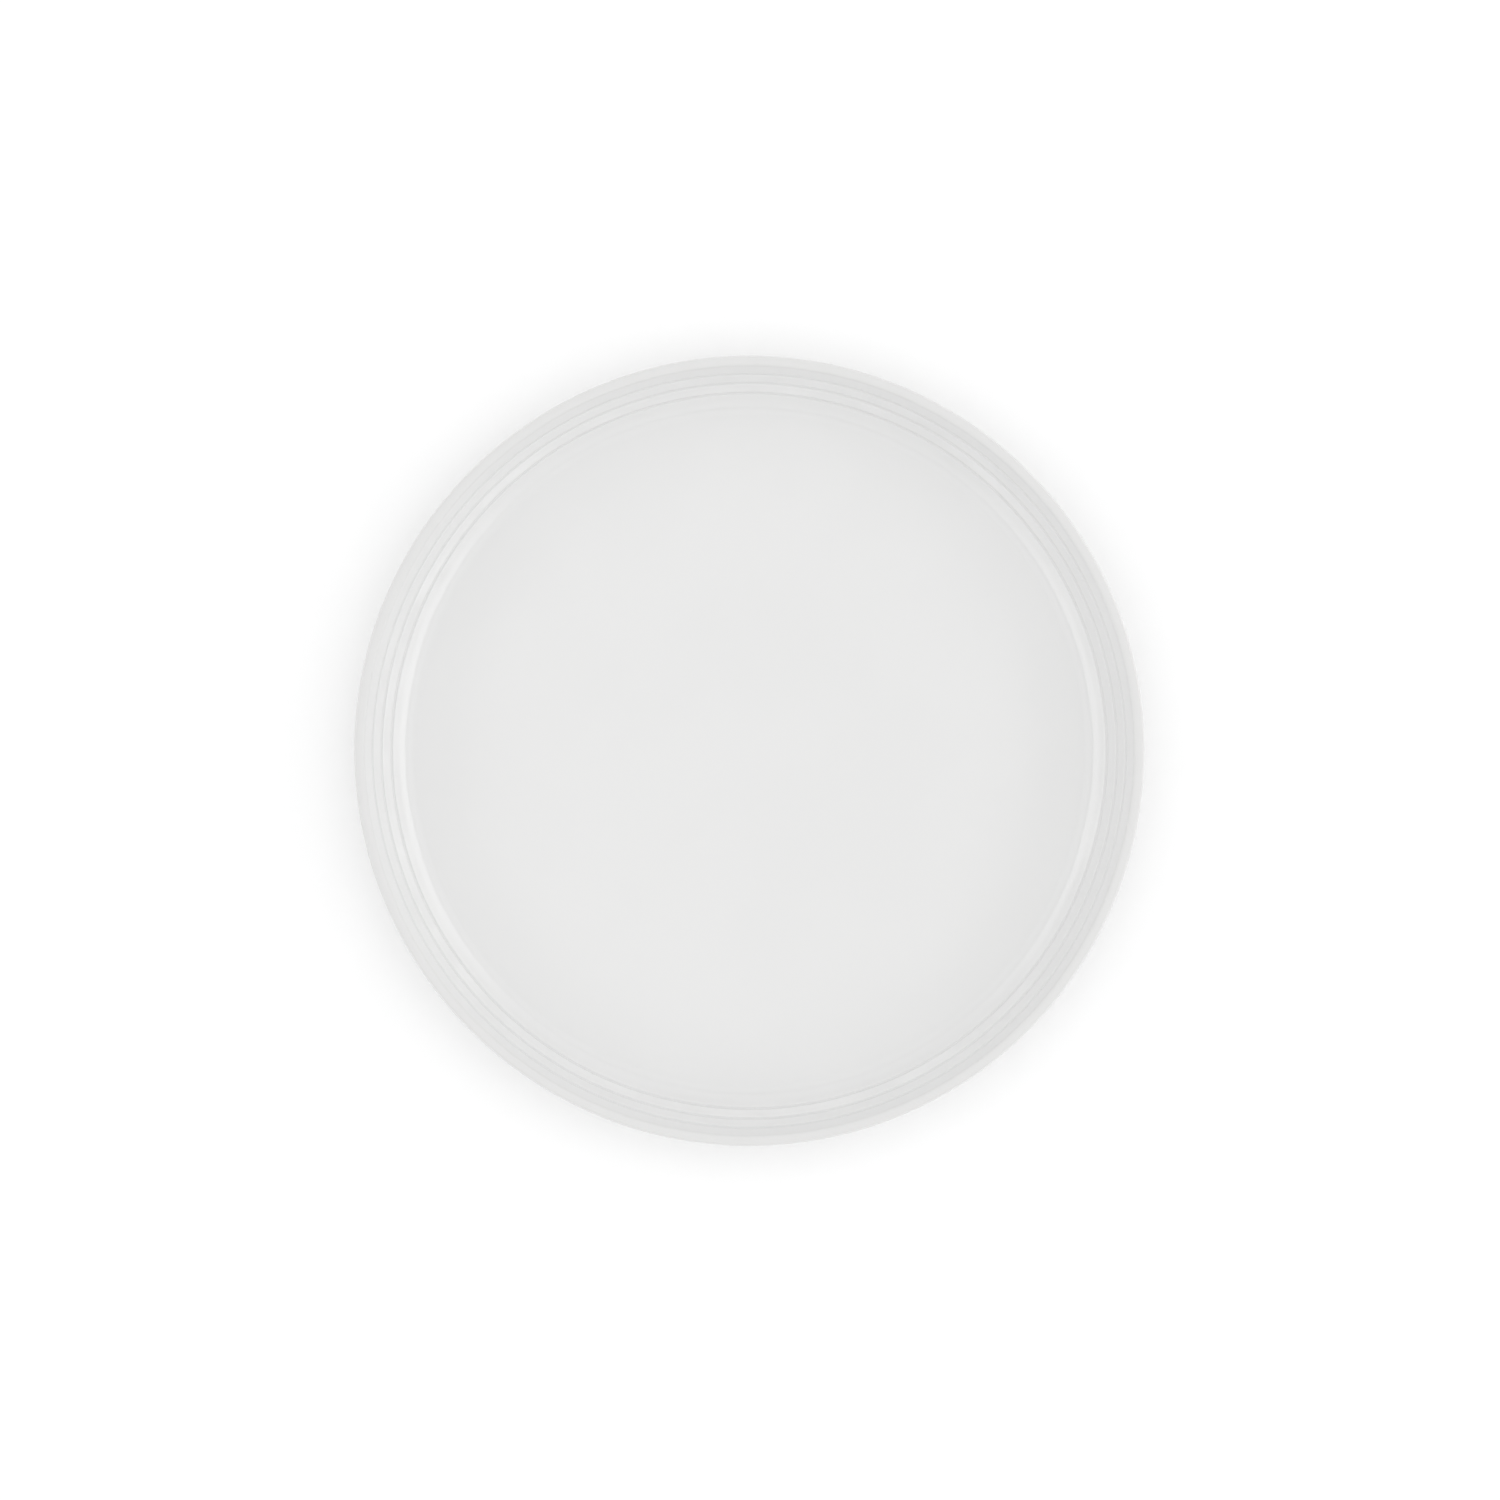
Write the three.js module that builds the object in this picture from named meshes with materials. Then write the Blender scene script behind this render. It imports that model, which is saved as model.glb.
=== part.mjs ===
// A shallow round dinner plate in glazed stoneware, pressed, glazed and fired as one piece.
//
// It is one solid of revolution about Z. Inside it has a flat well, a tight curve at the foot of
// the wall, and a low wall that steepens towards a rounded lip, with three fine grooves running
// round it. Outside, the wall sweeps down under the well to a foot ring, which stands on the
// table and leaves a shallow recess inside it.
//
// Millimetres, +Z up. The origin is on the table, at the centre of the foot ring.
import * as THREE from "three";

const { sin, cos, PI } = Math;
const degrees = THREE.MathUtils.degToRad;
const point = (r, z) => new THREE.Vector2(r, z);

// Driving dimensions. An angle is the slope of the surface, from 0 where it lies flat.
const SEGMENTS = 72; // straight sides that stand for the round plate
const WELL_RADIUS = 114.7; // where the flat floor of the well ends
const WELL_CURVE = 6; // radius of the curve between the floor and the wall
const WALL_FOOT_SLOPE = degrees(35);
const WALL_TOP_SLOPE = degrees(60);
const PLATE_RADIUS = 135;
const LIP_INNER_ROUND = 1.1;
const LIP_CROWN_ROUND = 4; // of the gently rounded top of the lip
const LIP_CROWN_INNER_SLOPE = degrees(12);
const LIP_CROWN_OUTER_SLOPE = degrees(20);
const LIP_OUTER_ROUND = 1.1;
const GROOVE_COUNT = 3;
const FIRST_GROOVE_SLOPE = degrees(42); // slope of the wall at the groove nearest the well
const GROOVE_PITCH = 4.66; // along the wall
const GROOVE_HALF_WIDTH = 0.8;
const GROOVE_DEPTH = 0.5;
const FLOOR_THICKNESS = 6;
const UNDERSIDE_FLAT_RADIUS = 110; // where the outside of the wall has swept down to lie flat
const SWEEP_TOP_PULL = 8.7; // how far the sweep runs on straight below the lip
const SWEEP_FOOT_PULL = 14; // and how far it comes in flat below
const FOOT_HEIGHT = 3; // table to the underside, outside the foot ring
const FOOT_OUTER_RADIUS = 94; // outer edge of the flat face that stands on the table
const FOOT_FACE_WIDTH = 4;
const FOOT_EDGE_ROUND = 0.5;
const FOOT_SIDE_LEAN = 1; // how far each side of the ring leans out by its root
const FOOT_ROOT_CURVE = 0.9;
const RECESS_HEIGHT = 3.2; // table to the underside, inside the foot ring

// The inner surface and the lip are arcs that run into each other: well curve, wall, inner round,
// crown and outer round. Each is given by the slope where it starts and ends, so the centres below
// follow from the sizes above, the rounds of the lip from the outer edge in.
const floorHeight = FOOT_HEIGHT + FLOOR_THICKNESS;
const wallFoot = point(
  WELL_RADIUS + WELL_CURVE * sin(WALL_FOOT_SLOPE),
  floorHeight + WELL_CURVE * (1 - cos(WALL_FOOT_SLOPE)),
);
const outerRoundRadius = PLATE_RADIUS - LIP_OUTER_ROUND;
const crestRadius =
  outerRoundRadius - (LIP_CROWN_ROUND - LIP_OUTER_ROUND) * sin(LIP_CROWN_OUTER_SLOPE);
const innerRoundRadius =
  crestRadius - (LIP_CROWN_ROUND - LIP_INNER_ROUND) * sin(LIP_CROWN_INNER_SLOPE);
const wallTopRadius = innerRoundRadius - LIP_INNER_ROUND * sin(WALL_TOP_SLOPE);
const wallRadius =
  (wallTopRadius - wallFoot.x) / (sin(WALL_TOP_SLOPE) - sin(WALL_FOOT_SLOPE));
const wallCentre = point(
  wallFoot.x - wallRadius * sin(WALL_FOOT_SLOPE),
  wallFoot.y + wallRadius * cos(WALL_FOOT_SLOPE),
);
const wallTopHeight = wallCentre.y - wallRadius * cos(WALL_TOP_SLOPE);
const innerRoundHeight = wallTopHeight - LIP_INNER_ROUND * cos(WALL_TOP_SLOPE);
const crownHeight =
  innerRoundHeight - (LIP_CROWN_ROUND - LIP_INNER_ROUND) * cos(LIP_CROWN_INNER_SLOPE);
const outerRoundHeight =
  crownHeight + (LIP_CROWN_ROUND - LIP_OUTER_ROUND) * cos(LIP_CROWN_OUTER_SLOPE);

// Points along a round arc from one angle to another, leaving out the first.
function arc(centreR, centreZ, radius, from, to, steps) {
  const clockwise = to < from;
  const curve = new THREE.EllipseCurve(centreR, centreZ, radius, radius, from, to, clockwise);
  return curve.getPoints(steps).slice(1);
}

// The floor of the well and the curve at its edge, from the axis out.
function well() {
  const flat = -PI / 2;
  const centreHeight = floorHeight + WELL_CURVE;
  return [
    point(0, floorHeight),
    point(WELL_RADIUS, floorHeight),
    ...arc(WELL_RADIUS, centreHeight, WELL_CURVE, flat, flat + WALL_FOOT_SLOPE, 4),
  ];
}

// The grooved wall. A groove is a smooth dip into the body, square to the wall.
function wall() {
  const length = wallRadius * (WALL_TOP_SLOPE - WALL_FOOT_SLOPE);
  const firstGroove = wallRadius * (FIRST_GROOVE_SLOPE - WALL_FOOT_SLOPE);
  const stations = [[firstGroove / 2, 0]];
  for (let n = 0; n < GROOVE_COUNT; n += 1) {
    const middle = firstGroove + n * GROOVE_PITCH;
    for (const share of [-1, -0.5, 0, 0.5, 1]) {
      const dip = (GROOVE_DEPTH * (1 + cos(PI * share))) / 2;
      stations.push([middle + share * GROOVE_HALF_WIDTH, dip]);
    }
    stations.push([Math.min(middle + GROOVE_PITCH / 2, length), 0]);
  }
  return stations.map(([along, dip]) => {
    const slope = WALL_FOOT_SLOPE + along / wallRadius;
    const reach = wallRadius + dip;
    return point(wallCentre.x + reach * sin(slope), wallCentre.y - reach * cos(slope));
  });
}

// The lip: a tight round, the gentle crown that is its top, and a tight round again, which carries
// on below the widest line until it lies along the outside of the wall.
function lip() {
  const crest = PI / 2;
  const crownStart = crest + LIP_CROWN_INNER_SLOPE;
  const crownEnd = crest - LIP_CROWN_OUTER_SLOPE;
  const widest = 0;
  const inner = [innerRoundRadius, innerRoundHeight, LIP_INNER_ROUND];
  const crown = [crestRadius, crownHeight, LIP_CROWN_ROUND];
  const outer = [outerRoundRadius, outerRoundHeight, LIP_OUTER_ROUND];
  return [
    point(wallTopRadius, wallTopHeight),
    ...arc(...inner, crest + WALL_TOP_SLOPE, crownStart, 3),
    ...arc(...crown, crownStart, crest, 1),
    ...arc(...crown, crest, crownEnd, 2),
    ...arc(...outer, crownEnd, widest, 3),
    ...arc(...outer, widest, WALL_TOP_SLOPE - PI / 2, 2),
  ];
}

// The outside of the wall, sweeping down from the lip until it lies flat under the well.
function outside() {
  const top = point(
    outerRoundRadius + LIP_OUTER_ROUND * sin(WALL_TOP_SLOPE),
    outerRoundHeight - LIP_OUTER_ROUND * cos(WALL_TOP_SLOPE),
  );
  const flat = point(UNDERSIDE_FLAT_RADIUS, FOOT_HEIGHT);
  const pull = point(SWEEP_TOP_PULL * cos(WALL_TOP_SLOPE), SWEEP_TOP_PULL * sin(WALL_TOP_SLOPE));
  const sweep = new THREE.CubicBezierCurve(
    top,
    point(top.x - pull.x, top.y - pull.y),
    point(flat.x + SWEEP_FOOT_PULL, flat.y),
    flat,
  );
  return sweep.getPoints(9).slice(1);
}

// One side of the foot ring, from its root down its leaning flank to its flat face. Side is 1 on
// the outer side of the ring and -1 on the inner side.
function footSide(faceRadius, rootHeight, side) {
  const flank = (height) =>
    faceRadius + side * (FOOT_EDGE_ROUND + (FOOT_SIDE_LEAN * height) / rootHeight);
  const onFlank = (height) => point(flank(height), height);
  const root = new THREE.QuadraticBezierCurve(
    point(flank(rootHeight) + side * FOOT_ROOT_CURVE, rootHeight),
    onFlank(rootHeight),
    onFlank(rootHeight - FOOT_ROOT_CURVE),
  );
  const edge = new THREE.QuadraticBezierCurve(
    onFlank(FOOT_EDGE_ROUND),
    onFlank(0),
    point(faceRadius, 0),
  );
  return [...root.getPoints(2), ...edge.getPoints(2)];
}

function foot() {
  const innerRadius = FOOT_OUTER_RADIUS - FOOT_FACE_WIDTH;
  return [
    ...footSide(FOOT_OUTER_RADIUS, FOOT_HEIGHT, 1),
    ...footSide(innerRadius, RECESS_HEIGHT, -1).reverse(),
    point(0, RECESS_HEIGHT),
  ];
}

// The outline runs from the axis over the plate and back under it. A lathe turns it about Y and
// shows the side on its left, so it is turned end for end, and the mesh is stood up along Z.
const outline = [...well(), ...wall(), ...lip(), ...outside(), ...foot()].reverse();
const glaze = new THREE.MeshStandardMaterial({ color: 0xe8e8e7, roughness: 0.12, metalness: 0 });
const plate = new THREE.Mesh(new THREE.LatheGeometry(outline, SEGMENTS), glaze);
plate.name = "plate";
plate.rotation.x = PI / 2;

const group = new THREE.Group();
group.add(plate);

export default group;
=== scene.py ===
from math import atan, cos, pi, radians, sin, tan

import bpy
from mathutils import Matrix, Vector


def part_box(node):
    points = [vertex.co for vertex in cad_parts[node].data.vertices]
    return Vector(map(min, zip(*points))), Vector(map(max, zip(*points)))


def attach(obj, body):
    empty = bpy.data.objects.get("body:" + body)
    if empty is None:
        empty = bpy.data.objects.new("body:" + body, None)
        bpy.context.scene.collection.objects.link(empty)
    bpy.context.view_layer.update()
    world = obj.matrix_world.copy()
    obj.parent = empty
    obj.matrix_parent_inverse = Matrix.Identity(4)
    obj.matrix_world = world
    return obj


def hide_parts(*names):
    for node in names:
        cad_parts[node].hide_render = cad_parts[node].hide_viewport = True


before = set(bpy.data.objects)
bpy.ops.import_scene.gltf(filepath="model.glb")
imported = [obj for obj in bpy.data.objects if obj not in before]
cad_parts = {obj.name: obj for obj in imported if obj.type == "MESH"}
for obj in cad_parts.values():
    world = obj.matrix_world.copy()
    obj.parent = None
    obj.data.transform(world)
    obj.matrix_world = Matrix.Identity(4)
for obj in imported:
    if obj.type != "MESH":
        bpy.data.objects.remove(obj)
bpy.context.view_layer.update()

# The glazed plate. One piece of white stoneware, pressed to shape on a turning mould, its three
# grooves cut while it turns. It is dipped in a white glaze, its foot ring is wiped clean, and it
# is fired standing on that ring, so the glaze stops in a soft bead just above the shelf.
MM = 0.001
uneven_room = 0.05 * MM  # kept free round the lip, which comes out a little uneven
highest_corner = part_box("plate")[1]
plate_radius = highest_corner.x - uneven_room
plate_height = highest_corner.z - uneven_room
well_radius = 114.7 * MM
well_curve = 6 * MM
wall_foot_slope = radians(35)
wall_top_slope = radians(60)
lip_inner_round = 1.1 * MM
lip_crown_round = 4 * MM
lip_crown_inner_slope = radians(12)
lip_crown_outer_slope = radians(20)
lip_outer_round = 1.1 * MM
groove_count = 3
first_groove_slope = radians(42)
groove_pitch = 4.66 * MM
groove_slope = radians(58)  # how steeply a groove's sides dip below the wall
groove_nose = 0.42 * MM
groove_shoulder = 0.5 * MM
sweep_middle_slope = radians(54)
underside_flat_radius = 110 * MM
foot_height = 3 * MM
recess_height = 3.2 * MM
foot_outer_radius = 94 * MM
foot_inner_radius = 90 * MM
foot_lean = atan(1 / 3)  # of the ring's sides, away from upright
foot_root_round = 1.2 * MM
foot_edge_round = 0.5 * MM
glaze_line = 0.95 * MM  # height at which the glaze stops
glaze_bead = 0.2 * MM  # radius of the bead along that line
glaze_nip = 0.06 * MM  # and of the sharp bend where it meets the clay
glaze_bead_turn = radians(75)
turned_rings = 3
ring_round = 120 * MM
ring_slope = radians(1.4)
first_ring_gap = 9 * MM

# The wall is one arc between the curve of the well and the round of the lip, and the outside is
# two, so their radii follow from where they have to end.
crest_radius = (
    plate_radius
    - lip_outer_round * (1 - sin(lip_crown_outer_slope))
    - lip_crown_round * sin(lip_crown_outer_slope)
)
crown_start_radius = crest_radius - lip_crown_round * sin(lip_crown_inner_slope)
wall_foot_radius = well_radius + well_curve * sin(wall_foot_slope)
wall_top_radius = crown_start_radius - lip_inner_round * (
    sin(wall_top_slope) - sin(lip_crown_inner_slope)
)
wall_round = (wall_top_radius - wall_foot_radius) / (sin(wall_top_slope) - sin(wall_foot_slope))
well_height = (
    plate_height
    - lip_crown_round * (1 - cos(lip_crown_inner_slope))
    - lip_inner_round * (cos(lip_crown_inner_slope) - cos(wall_top_slope))
    - wall_round * (cos(wall_foot_slope) - cos(wall_top_slope))
    - well_curve * (1 - cos(wall_foot_slope))
)
groove_width = 2 * (groove_nose + groove_shoulder) * sin(groove_slope)
groove_bend = groove_width / wall_round


class Pen:
    """Draws a section by extruding one vertex. Its heading is 0 outwards and pi / 2 upwards."""

    def __init__(self, radius, height):
        bpy.ops.object.select_all(action="DESELECT")
        bpy.ops.mesh.primitive_plane_add(size=MM, location=(radius, 0, height))
        bpy.ops.object.transform_apply()
        bpy.ops.object.mode_set(mode="EDIT")
        bpy.ops.mesh.merge(type="CENTER")
        self.r, self.z, self.heading = radius, height, 0

    def forward(self, length, steps=1):
        dr, dz = length * cos(self.heading), length * sin(self.heading)
        move = {"value": (dr / steps, 0, dz / steps)}
        for _ in range(steps):
            bpy.ops.mesh.extrude_region_move(TRANSFORM_OT_translate=move)
        self.r, self.z = self.r + dr, self.z + dz

    def turn(self, bend_round, angle, steps):
        """Follows an arc, to the left by a positive angle and to the right by a negative one."""
        side = 1 if angle > 0 else -1
        centre_r = self.r - side * bend_round * sin(self.heading)
        centre_z = self.z + side * bend_round * cos(self.heading)
        centre = (centre_r, 0, centre_z)
        bpy.ops.mesh.spin(steps=steps, angle=angle, center=centre, axis=(0, 1, 0))
        self.heading += angle
        self.r = centre_r + side * bend_round * sin(self.heading)
        self.z = centre_z - side * bend_round * cos(self.heading)


def solve_sweep(run, drop, top, middle):
    """The radii of two arcs, from the top slope to the middle one and on to flat."""
    across = (sin(top) - sin(middle), sin(middle))
    down = (cos(middle) - cos(top), 1 - cos(middle))
    scale = across[0] * down[1] - across[1] * down[0]
    return (
        (run * down[1] - drop * across[1]) / scale,
        (drop * across[0] - run * down[0]) / scale,
    )


pen = Pen(0, well_height)
pen.forward(well_radius, steps=23)
pen.turn(well_curve, wall_foot_slope, steps=9)
pen.turn(wall_round, first_groove_slope - wall_foot_slope - groove_bend / 2, steps=3)
groove_radii = []
for groove in range(groove_count):
    inner_edge = pen.r
    pen.turn(groove_shoulder, -groove_slope, steps=6)
    pen.turn(groove_nose, 2 * groove_slope + groove_bend, steps=10)
    pen.turn(groove_shoulder, -groove_slope, steps=6)
    groove_radii.append((inner_edge + pen.r) / 2)
    if groove < groove_count - 1:
        pen.turn(wall_round, (groove_pitch - groove_width) / wall_round, steps=3)
pen.turn(wall_round, wall_top_slope - pen.heading, steps=3)
pen.turn(lip_inner_round, lip_crown_inner_slope - wall_top_slope, steps=7)
pen.turn(lip_crown_round, -lip_crown_inner_slope - lip_crown_outer_slope, steps=7)
pen.turn(lip_outer_round, lip_crown_outer_slope + wall_top_slope - pi, steps=12)
sweep_rounds = solve_sweep(
    pen.r - underside_flat_radius, pen.z - foot_height, wall_top_slope, sweep_middle_slope
)
pen.turn(sweep_rounds[0], sweep_middle_slope - wall_top_slope, steps=5)
pen.turn(sweep_rounds[1], -sweep_middle_slope, steps=12)

# The foot ring: its outer side, its flat face and its inner side.
side_turn = pi / 2 - foot_lean
root_reach = foot_root_round * tan(side_turn / 2)
edge_reach = foot_edge_round * tan(side_turn / 2)
bead_length = (glaze_bead + glaze_nip) * sin(glaze_bead_turn)
bead_depth = (glaze_bead + glaze_nip) * (1 - cos(glaze_bead_turn))
face_inset = bead_depth / cos(foot_lean)


def flank_lengths(root_height):
    """How far a side of the ring is glazed and bare, between its rounds and the bead."""
    glazed = (root_height - glaze_line) / cos(foot_lean) - root_reach
    bare = glaze_line / cos(foot_lean) - bead_length - edge_reach + bead_depth * tan(foot_lean)
    return glazed, bare


glazed_length, bare_length = flank_lengths(foot_height)
root_radius = foot_outer_radius + foot_height * tan(foot_lean)
pen.forward(pen.r - root_radius - root_reach, steps=4)
pen.turn(foot_root_round, side_turn, steps=6)
pen.forward(glazed_length)
pen.turn(glaze_bead, -glaze_bead_turn, steps=4)
pen.turn(glaze_nip, glaze_bead_turn, steps=3)
pen.forward(bare_length)
pen.turn(foot_edge_round, -side_turn, steps=5)
glazed_length, bare_length = flank_lengths(recess_height)
pen.forward(pen.r - foot_inner_radius - face_inset - edge_reach, steps=2)
pen.turn(foot_edge_round, -side_turn, steps=5)
pen.forward(bare_length)
pen.turn(glaze_nip, glaze_bead_turn, steps=3)
pen.turn(glaze_bead, -glaze_bead_turn, steps=4)
pen.forward(glazed_length)
pen.turn(foot_root_round, side_turn, steps=6)

# The recess inside the ring, with the faint rings that the turning tool left in it.
pen.forward(first_ring_gap)
for ring in range(turned_rings):
    for bend in (ring_slope, -2 * ring_slope, ring_slope):
        pen.turn(ring_round, bend, steps=2)
pen.forward(pen.r, steps=5)

plate = bpy.context.object
plate.name = plate.data.name = "glazed_plate"
turned_steps = 432
weld_distance = 0.002 * MM
bpy.ops.object.mode_set(mode="OBJECT")
bpy.ops.object.modifier_add(type="SCREW")
turning = plate.modifiers["Screw"]
turning.steps = turning.render_steps = turned_steps
turning.use_merge_vertices = True
bpy.ops.object.modifier_apply(modifier=turning.name)
bpy.ops.object.mode_set(mode="EDIT")
bpy.ops.mesh.select_all(action="SELECT")
bpy.ops.mesh.remove_doubles(threshold=weld_distance)
bpy.ops.mesh.normals_make_consistent(inside=False)

# The turning tool, the drying and the firing leave its wall and lip a little uneven. The well and
# the foot stay true, and the unevenness grows from nothing in a few steps up from the well.
uneven_steps = 5
uneven_climb = 1.2 * MM  # height above the well at which it is full
bpy.ops.object.vertex_group_add()
for step in range(1, uneven_steps + 1):
    share = step / uneven_steps
    uneven_from = well_height + share * uneven_climb
    bpy.ops.mesh.select_all(action="DESELECT")
    bpy.ops.object.mode_set(mode="OBJECT")
    for vertex in plate.data.vertices:
        vertex.select = vertex.co.z > uneven_from
    bpy.ops.object.mode_set(mode="EDIT")
    bpy.context.tool_settings.vertex_group_weight = share
    bpy.ops.object.vertex_group_assign()
bpy.ops.object.mode_set(mode="OBJECT")

# One broad pattern pushes the wall to any side, and a broader one presses it in.
for name, push, blot_size, strength, middle in (
    ("waver", "RGB_TO_XYZ", 16 * MM, 0.22 * MM, 0.5),
    ("swell", "NORMAL", 38 * MM, 0.04 * MM, 1),
):
    clouds = bpy.data.textures.new(name, "CLOUDS")
    clouds.cloud_type = "COLOR"
    clouds.noise_scale = blot_size
    bpy.ops.object.modifier_add(type="DISPLACE")
    uneven = plate.modifiers["Displace"]
    uneven.texture = clouds
    uneven.texture_coords = "LOCAL"
    uneven.direction = push
    uneven.strength = strength
    uneven.mid_level = middle
    uneven.vertex_group = plate.vertex_groups[0].name
    bpy.ops.object.modifier_apply(modifier=uneven.name)
bpy.ops.object.shade_smooth()


class Field:
    """A value over a surface: an output of a node. Arithmetic on it adds Math nodes."""

    def __init__(self, tree, output=None):
        self.tree = tree
        self.output = output

    def node(self, kind, settings={}, sockets={}, output=0):
        """Adds a node to the tree, its settings first, and gives one of its outputs."""
        node = self.tree.nodes.new("ShaderNode" + kind)
        for name, value in settings.items():
            setattr(node, name, value)
        for name, value in sockets.items():
            if isinstance(value, Field):
                self.tree.links.new(value.output, node.inputs[name])
            else:
                node.inputs[name].default_value = value
        return Field(self.tree, node.outputs[output] if node.outputs else None)

    def maths(self, operation, second=0):
        return self.node("Math", {"operation": operation}, {0: self, 1: second})

    def __add__(self, other):
        return self.maths("ADD", other)

    def __sub__(self, other):
        return self.maths("SUBTRACT", other)

    def __rsub__(self, other):
        return self.node("Math", {"operation": "SUBTRACT"}, {0: other, 1: self})

    def __mul__(self, other):
        return self.maths("MULTIPLY", other)

    def __pow__(self, other):
        return self.maths("POWER", other)

    __radd__ = __add__
    __rmul__ = __mul__

    def rise(self, start, end):
        """0 up to start and 1 from end, turning smoothly between them."""
        settings = {"interpolation_type": "SMOOTHSTEP"}
        return self.node("MapRange", settings, {"Value": self, 1: start, 2: end})

    def near(self, centre, reach):
        """1 at the centre and 0 from the reach on, on both sides of it."""
        return (self - centre).maths("ABSOLUTE").rise(reach, 0)

    def noise(self, size, detail=2, roughness=0.5):
        """A cloudy pattern about 0.5 whose blots are of that size, read at this place."""
        sockets = {"Vector": self, "Scale": 1 / size, "Detail": detail, "Roughness": roughness}
        return self.node("TexNoise", {}, sockets)

    def blend(self, first, second):
        """Goes from the first colour to the second as this goes from 0 to 1."""
        return self.node("Mix", {"data_type": "RGBA"}, {0: self, 6: first, 7: second}, 2)


def new_material(name):
    """A material with an empty tree, and the field through which its first nodes are added."""
    material = bpy.data.materials.new(name)
    material.use_nodes = True
    material.node_tree.nodes.clear()
    return material, Field(material.node_tree)


# The finish: a glossy white glaze, which pools in the grooves and runs thin over the lip, and the
# bare clay of the foot ring below the glaze's wavering edge. The darker grooves are partly pooled
# glaze and partly painted shade, and the darker top of the lip is partly thin glaze and partly
# painted shade.
glaze_colour = (0.73, 0.73, 0.727, 1)
# Colour of pooled glaze, which also paints shade into the grooves.
glaze_pooled_and_groove_shade = (0.67, 0.671, 0.67, 1)
# Colour of thin glaze, which also paints shade over the top of the lip.
glaze_thin_and_lip_shade = (0.675, 0.673, 0.668, 1)
clay_colour = (0.66, 0.62, 0.56, 1)
clay_fleck = (0.40, 0.34, 0.28, 1)
cloud_pooling = 0.08
groove_pooling_and_shade = 0.42
groove_shade_reach = 0.55 * MM  # from the middle of a groove
thin_and_shade_from = 1.3 * MM  # below the top of the lip
thin_and_shade_full = 0.3 * MM
thin_and_shade_varies = 0.4
line_wobble_height = 0.5 * MM
line_blur = 0.1 * MM
glaze_least_roughness = 0.05
glaze_roughness_range = 0.07
clay_roughness = 0.85
glaze_refraction = 1.52
swell_height = 0.05 * MM
orange_peel_height = 0.010 * MM
fine_peel_height = 0.0012 * MM
clay_grain_height = 0.05 * MM
pinhole_spacing = 6 * MM
pinhole_reach = 0.07  # of that spacing
pinhole_share = 0.3  # of the places where there could be one
pinhole_share_blur = 0.02
pinhole_depth = 0.05 * MM
pinholes_from = 1 * MM  # above the well
pinholes_full = 3 * MM

finish, start = new_material("white_glaze_on_stoneware")
place = start.node("TexCoord", output="Object")
x, y, z = (start.node("SeparateXYZ", {}, {0: place}, axis) for axis in range(3))
radius = (x * x + y * y) ** 0.5
facing_up = start.node("SeparateXYZ", {}, {0: start.node("TexCoord", output="Normal")}, 2)

inside = facing_up.rise(0, 0.2)
in_grooves = 0
for groove_radius in groove_radii:
    in_grooves = radius.near(groove_radius, groove_shade_reach) + in_grooves
on_lip = z.rise(plate_height - thin_and_shade_from, plate_height - thin_and_shade_full)
in_clouds = place.noise(34 * MM, detail=3).rise(0.42, 0.62)
# Painted shade: the grooves are darkened, on top of the pooled glaze in random clouds.
pooled_and_groove_shade = in_clouds * cloud_pooling + in_grooves * inside * groove_pooling_and_shade
# Painted shade: the top of the lip is darkened, on top of the thin glaze there.
thinned_and_shaded = on_lip * (place.noise(6 * MM, detail=2) * thin_and_shade_varies + (1 - thin_and_shade_varies))
line_wobble = (place.noise(9 * MM) - 0.5) * line_wobble_height
bare = 1 - (z + line_wobble).rise(glaze_line - line_blur, glaze_line + line_blur)

flecks = place.noise(0.9 * MM, detail=1).rise(0.66, 0.74)
glaze = thinned_and_shaded.blend(pooled_and_groove_shade.blend(glaze_colour, glaze_pooled_and_groove_shade), glaze_thin_and_lip_shade)
clay = flecks.blend(clay_colour, clay_fleck)
colour = bare.blend(glaze, clay)
glaze_roughness = place.noise(22 * MM, detail=3) * glaze_roughness_range + glaze_least_roughness
roughness = glaze_roughness * (1 - bare) + bare * clay_roughness

# The skin of the glaze swells and dimples a little, with a few pinholes on the wall. A pinhole is
# at the middle of a cell of a random pattern, in the cells whose lot falls high.
swell = place.noise(45 * MM, detail=1) * swell_height
orange_peel = place.noise(3.2 * MM, detail=1) * orange_peel_height
fine_peel = place.noise(0.9 * MM, detail=1) * fine_peel_height
clay_grain = place.noise(0.35 * MM, detail=3, roughness=0.6) * clay_grain_height
cells = {"Vector": place, "Scale": 1 / pinhole_spacing}
cell_middle = start.node("TexVoronoi", {}, cells).near(0, pinhole_reach)
cell_colour = start.node("TexVoronoi", {}, cells, 1)
cell_lot = start.node("SeparateXYZ", {}, {0: cell_colour})
cell_chosen = cell_lot.rise(1 - pinhole_share, 1 - pinhole_share + pinhole_share_blur)
on_wall = z.rise(well_height + pinholes_from, well_height + pinholes_full) * inside
pinholes = cell_middle * cell_chosen * on_wall * pinhole_depth
height = (swell + orange_peel + fine_peel - pinholes) * (1 - bare) + clay_grain * bare
bump = start.node("Bump", {}, {"Strength": 1, "Distance": 1, "Height": height})
surface = start.node("BsdfPrincipled", {}, {
    "Base Color": colour,
    "Roughness": roughness,
    "IOR": glaze_refraction,
    "Normal": bump,
})
start.node("OutputMaterial", {}, {"Surface": surface})
plate.data.materials.append(finish)

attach(plate, "root")
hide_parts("plate")

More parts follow.
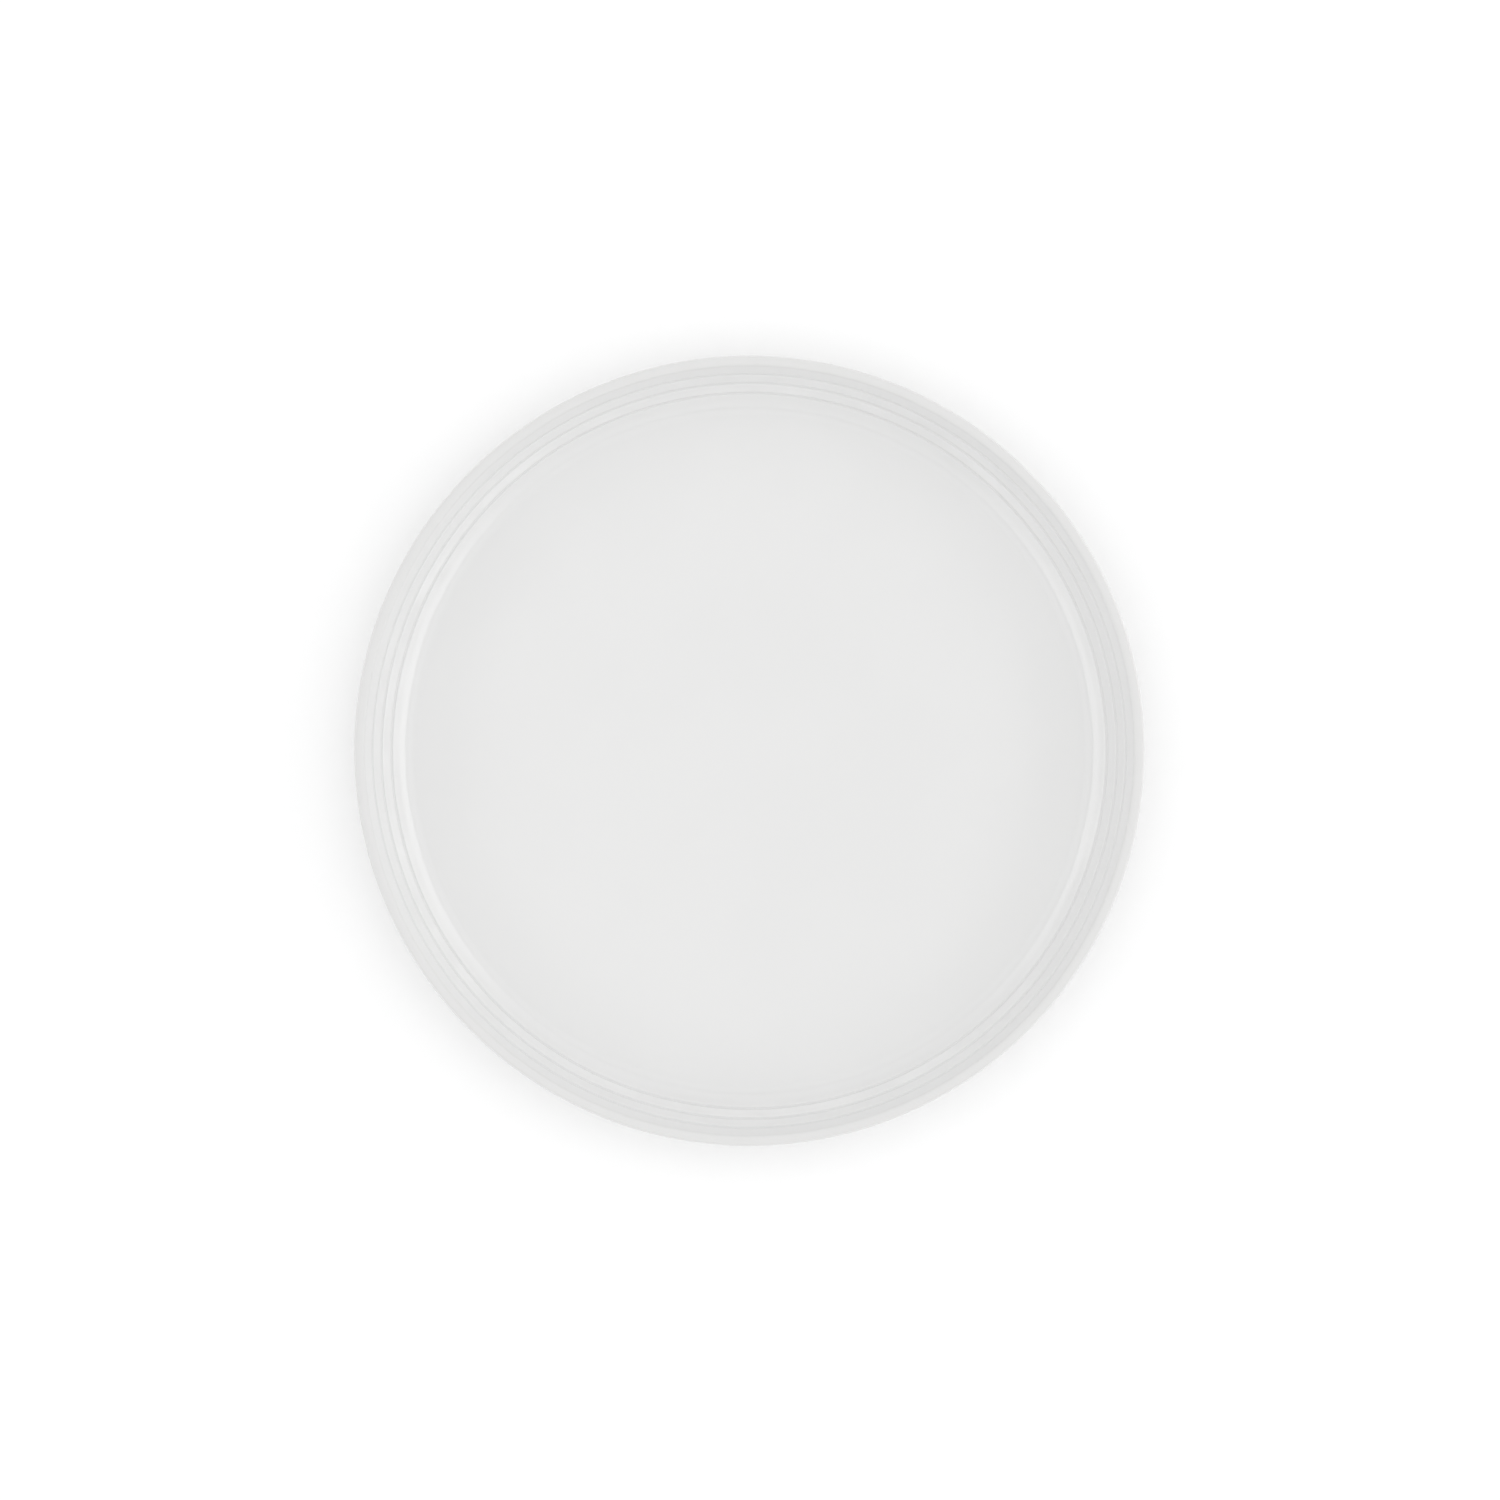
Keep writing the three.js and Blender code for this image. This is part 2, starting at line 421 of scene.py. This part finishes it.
# The table under the plate. A wide sheet of matt white board, lit a little from below, so that
# it stays whiter than the glaze right up to the soft shadow round the rim.
table_size = 12  # metres
table_colour = (0.93, 0.93, 0.93, 1)
table_shade = (0.915, 0.915, 0.915, 1)
mottle_size = 60 * MM
tooth_size = 1.2 * MM
tooth_height = 0.02 * MM
board_least_roughness = 0.75
board_roughness_range = 0.1
board_glow = 0.035
bpy.ops.object.select_all(action="DESELECT")
bpy.ops.mesh.primitive_plane_add(size=table_size)
table = bpy.context.object
table.name = table.data.name = "white_board"
board, start = new_material("matt_white_board")
place = start.node("TexCoord", output="Object")
tooth = place.noise(tooth_size, detail=2)
surface = start.node("BsdfPrincipled", {}, {
    "Base Color": place.noise(mottle_size, detail=3).blend(table_colour, table_shade),
    "Roughness": tooth * board_roughness_range + board_least_roughness,
    "Emission Color": (1, 1, 1, 1),
    "Emission Strength": board_glow,
    "Normal": start.node("Bump", {}, {"Distance": 1, "Height": tooth * tooth_height}),
})
start.node("OutputMaterial", {}, {"Surface": surface})
table.data.materials.append(board)

# The studio. A tent of white cloth stands round the plate and is lit from outside, by lamps over
# its top and by two rings of lamps near the table. On the right both rings are stronger. On the
# left the upper one is stronger and the lower one is shaded. The cloth blurs all their edges.
cloth_glow = 0.42
low_ring_glow = 1.6
middle_ring_glow = 0.8
top_glow = 0.79
right_low_glow = 0.7
right_middle_glow = 1.4
left_low_shade = 1.2
left_middle_glow = 1.1
side_full = radians(10)  # to either side of right or left
side_faded = radians(55)
top_faded = radians(22)  # above the table
top_full = radians(58)
tent = bpy.data.worlds.new("light_tent")
tent.use_nodes = True
tent.node_tree.nodes.clear()
start = Field(tent.node_tree)
direction = start.node("TexCoord", output="Generated")
along_x, up = (start.node("SeparateXYZ", {}, {0: direction}, axis) for axis in (0, 2))


def lit_ring(bottom, top, fade):
    """1 on the cloth between two heights, given as degrees above the table, and 0 beyond them."""
    rising = up.rise(sin(radians(bottom - fade)), sin(radians(bottom + fade)))
    falling = up.rise(sin(radians(top + fade)), sin(radians(top - fade)))
    return rising * falling


low_ring = lit_ring(bottom=3, top=9, fade=2)
middle_ring = lit_ring(bottom=15, top=27, fade=4)
over_top = up.rise(sin(top_faded), sin(top_full))
bearing = along_x * (1 - up * up) ** -0.5
on_right = bearing.rise(cos(side_faded), cos(side_full))
on_left = bearing.rise(-cos(side_faded), -cos(side_full))
low_glow = on_right * right_low_glow - on_left * left_low_shade + low_ring_glow
middle_glow = on_right * right_middle_glow + on_left * left_middle_glow + middle_ring_glow
glow = low_ring * low_glow + middle_ring * middle_glow + over_top * top_glow + cloth_glow
tent_light = start.node("Background", {}, {"Strength": glow, "Color": (1, 1, 1, 1)})
start.node("OutputWorld", {}, {"Surface": tent_light})
bpy.context.scene.world = tent

# The camera looks straight down from high above, through a long lens, a hair off the plate's middle.
lens = 200  # the lens and the sensor are in millimetres, as the camera takes them
sensor = 36
view_width = 512 * MM
aim_x = 0.24 * MM
aim_y = 0.27 * MM
bpy.ops.object.camera_add(rotation=(0, 0, 0))
camera = bpy.context.object
camera.name = camera.data.name = "overhead_camera"
camera.data.lens = lens
camera.data.sensor_width = sensor
camera.location = (aim_x, aim_y, plate_height + view_width * lens / sensor)
camera.data.clip_end = 50
bpy.context.scene.camera = camera
bpy.context.scene.view_settings.view_transform = "Standard"
